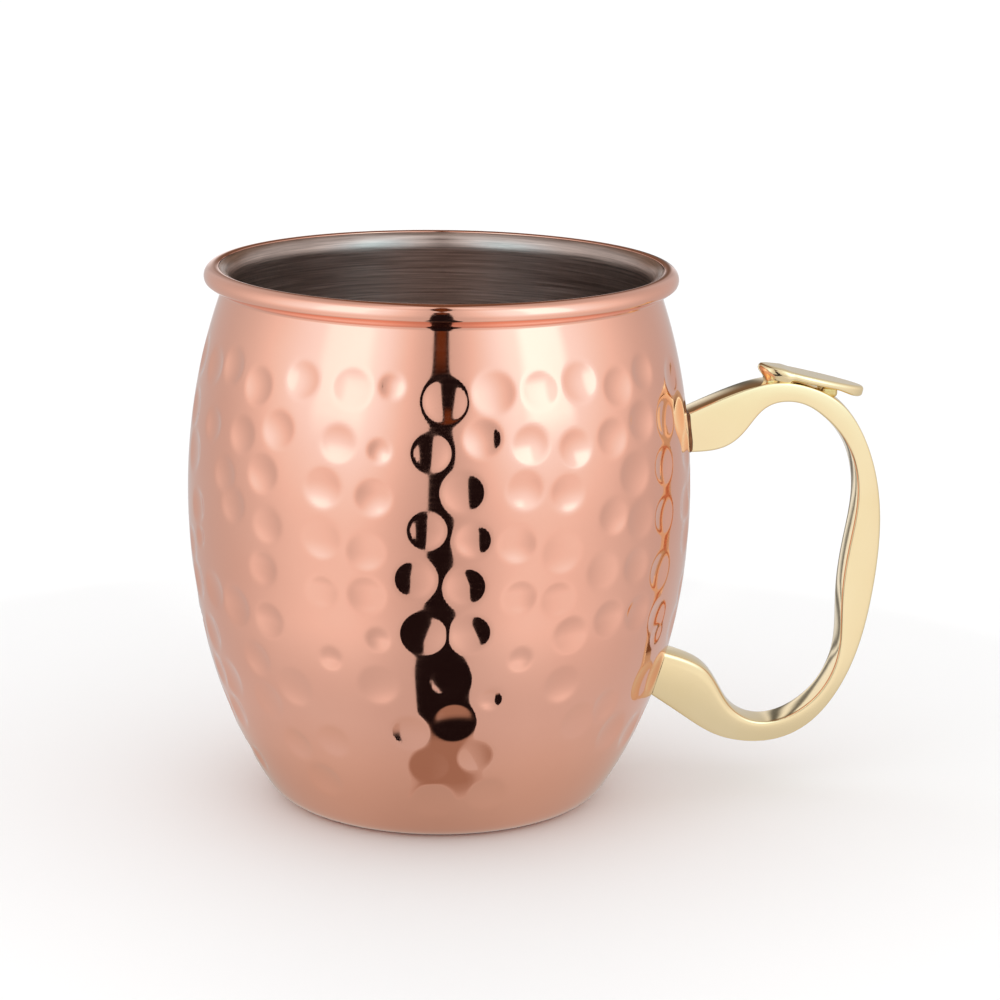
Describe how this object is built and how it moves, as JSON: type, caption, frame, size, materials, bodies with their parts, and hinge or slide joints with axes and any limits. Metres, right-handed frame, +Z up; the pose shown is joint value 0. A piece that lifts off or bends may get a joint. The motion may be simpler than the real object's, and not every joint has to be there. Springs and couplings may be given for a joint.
{
  "type": "mug",
  "caption": "Barrel-shaped hammered copper mug with a rolled rim, a stainless steel liner, and a cast brass ear handle with a thumb rest.",
  "frame": {"origin": "centre of the flat base, on the plane the mug stands on", "axes": "+Z up along the cup's axis, +X towards the handle, +Y to the side across the handle's two flat faces"},
  "size_m": [0.1292, 0.093, 0.1],
  "materials": {
    "copper": "mirror polished, hammered copper",
    "liner_steel": "satin, brushed round the cup",
    "brass": "polished cast brass",
    "braze": "dull brazing alloy, darkened in the seam",
    "rest_braze": "dull brazing alloy"
  },
  "bodies": {
    "root": {"copper_shell": "copper", "steel_liner": "liner_steel", "handle": "brass", "thumb_rest": "brass", "upper_foot_braze": "braze", "lower_foot_braze": "braze", "thumb_rest_inner_braze": "rest_braze", "thumb_rest_outer_braze": "rest_braze"}
  },
  "joints": []
}
